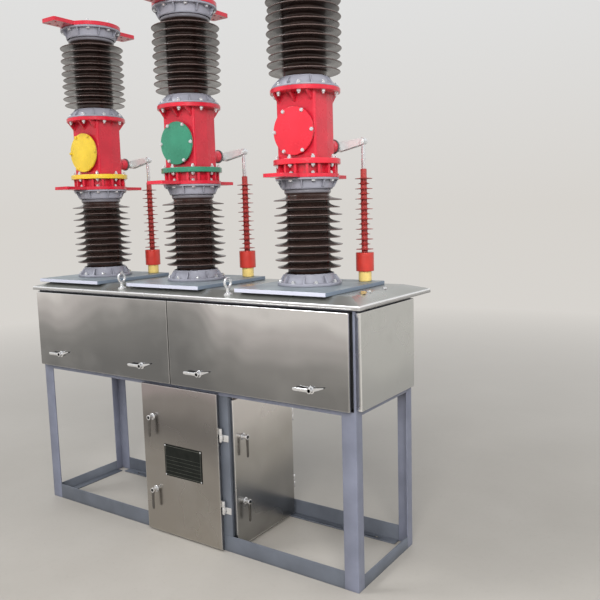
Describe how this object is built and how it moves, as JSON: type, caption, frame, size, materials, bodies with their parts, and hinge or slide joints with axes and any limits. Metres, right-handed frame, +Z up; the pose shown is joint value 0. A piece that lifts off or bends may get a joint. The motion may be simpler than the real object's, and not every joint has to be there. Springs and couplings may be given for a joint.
{
  "type": "outdoor vacuum circuit breaker",
  "caption": "Outdoor vacuum circuit breaker: porcelain poles with lever-and-rod linkages on a stainless box, angle-iron stand and hung control cabinet with doors.",
  "frame": {"origin": "middle of the bounding box in plan, on the floor under the stand", "axes": "+X along the row of poles towards the side the levers point to, +Y from the front panels to the back, +Z up"},
  "size_m": [2.092, 0.709, 2.634],
  "materials": {
    "stand_paint": "satin blue-grey machine paint",
    "plate_paint": "satin blue-grey machine paint",
    "stainless": "softly polished stainless sheet",
    "bright_fittings": "bright plated",
    "zinc": "bright zinc plated",
    "guide_yellow": "yellow cast resin",
    "nameplate_black": "bare black plate",
    "porcelain": "dark brown glaze",
    "cast_grey": "grey paint on castings",
    "signal_red": "gloss signal red paint",
    "phase_yellow": "gloss yellow paint",
    "phase_green": "gloss green paint",
    "phase_red": "gloss red paint",
    "rod_red": "moulded red insulation"
  },
  "bodies": {
    "structure": {"legs": "stand_paint", "bottom_rails": "stand_paint", "mid_rails": "stand_paint", "top_rails": "stand_paint", "roof_beams": "stand_paint", "cabinet_posts": "stand_paint", "box_floor": "stainless", "roof": "stainless", "front_panel_left": "stainless", "front_panel_right": "stainless", "rear_panels": "stainless", "end_covers": "stainless", "panel_latches": "bright_fittings", "eye_bolts": "zinc", "top_bolts": "zinc", "base_plates": "plate_paint", "rod_guides": "guide_yellow", "cabinet_floor": "stainless", "cabinet_top": "stainless", "cabinet_left_wall": "stainless", "cabinet_rear_wall": "stainless", "cabinet_right_wall": "stainless", "hinges": "bright_fittings", "lower_insulator_left": "porcelain", "lower_insulator_middle": "porcelain", "lower_insulator_right": "porcelain", "upper_insulator_left": "porcelain", "upper_insulator_middle": "porcelain", "upper_insulator_right": "porcelain", "flanges_left": "cast_grey", "flanges_middle": "cast_grey", "flanges_right": "cast_grey", "terminals_left": "signal_red", "terminals_middle": "signal_red", "terminals_right": "signal_red", "phase_ring_left": "phase_yellow", "phase_ring_middle": "phase_green", "phase_ring_right": "phase_red", "phase_cover_left": "phase_yellow", "phase_cover_middle": "phase_green", "phase_cover_right": "phase_red", "housing_left": "signal_red", "housing_middle": "signal_red", "housing_right": "signal_red"},
    "front_door": {"front_door": "stainless", "front_door_handles": "bright_fittings", "nameplate": "nameplate_black"},
    "side_door": {"side_door": "stainless", "side_door_handles": "bright_fittings"},
    "lever_left": {"lever_left": "zinc"},
    "lever_middle": {"lever_middle": "zinc"},
    "lever_right": {"lever_right": "zinc"},
    "pull_rod_left": {"pull_rod_left": "rod_red"},
    "pull_rod_middle": {"pull_rod_middle": "rod_red"},
    "pull_rod_right": {"pull_rod_right": "rod_red"}
  },
  "joints": [
    {"name": "front_door_hinge", "type": "hinge", "parent": "structure", "child": "front_door", "pos_m": [0.293, -0.317, 0.397], "axis": [0, 0, 1], "range_deg": [0, 110]},
    {"name": "side_door_hinge", "type": "hinge", "parent": "structure", "child": "side_door", "pos_m": [0.3435, 0.1865, 0.37], "axis": [0, 0, 1], "range_deg": [0, 85]},
    {"name": "lever_middle_turn", "type": "hinge", "parent": "structure", "child": "lever_middle", "pos_m": [-0.035, 0.1805, 1.884], "axis": [0, 1, 0], "range_deg": [0, 17]},
    {"name": "lever_left_turn", "type": "hinge", "parent": "structure", "child": "lever_left", "pos_m": [-0.735, 0.1805, 1.884], "axis": [0, 1, 0], "range_deg": [0, 17]},
    {"name": "lever_right_turn", "type": "hinge", "parent": "structure", "child": "lever_right", "pos_m": [0.665, 0.1805, 1.884], "axis": [0, 1, 0], "range_deg": [0, 17]},
    {"name": "pull_rod_left_slide", "type": "slide", "parent": "structure", "child": "pull_rod_left", "axis": [0, 0, -1], "range_m": [0, 0.03784]},
    {"name": "pull_rod_middle_slide", "type": "slide", "parent": "structure", "child": "pull_rod_middle", "axis": [0, 0, -1], "range_m": [0, 0.03784]},
    {"name": "pull_rod_right_slide", "type": "slide", "parent": "structure", "child": "pull_rod_right", "axis": [0, 0, -1], "range_m": [0, 0.03784]}
  ],
  "couplings": [
    {"joint": "lever_left_turn", "follows": "lever_middle_turn", "ratio": 1},
    {"joint": "lever_right_turn", "follows": "lever_middle_turn", "ratio": 1},
    {"joint": "pull_rod_left_slide", "follows": "lever_middle_turn", "m_per_rad": 0.12753},
    {"joint": "pull_rod_middle_slide", "follows": "lever_middle_turn", "m_per_rad": 0.12753},
    {"joint": "pull_rod_right_slide", "follows": "lever_middle_turn", "m_per_rad": 0.12753}
  ]
}
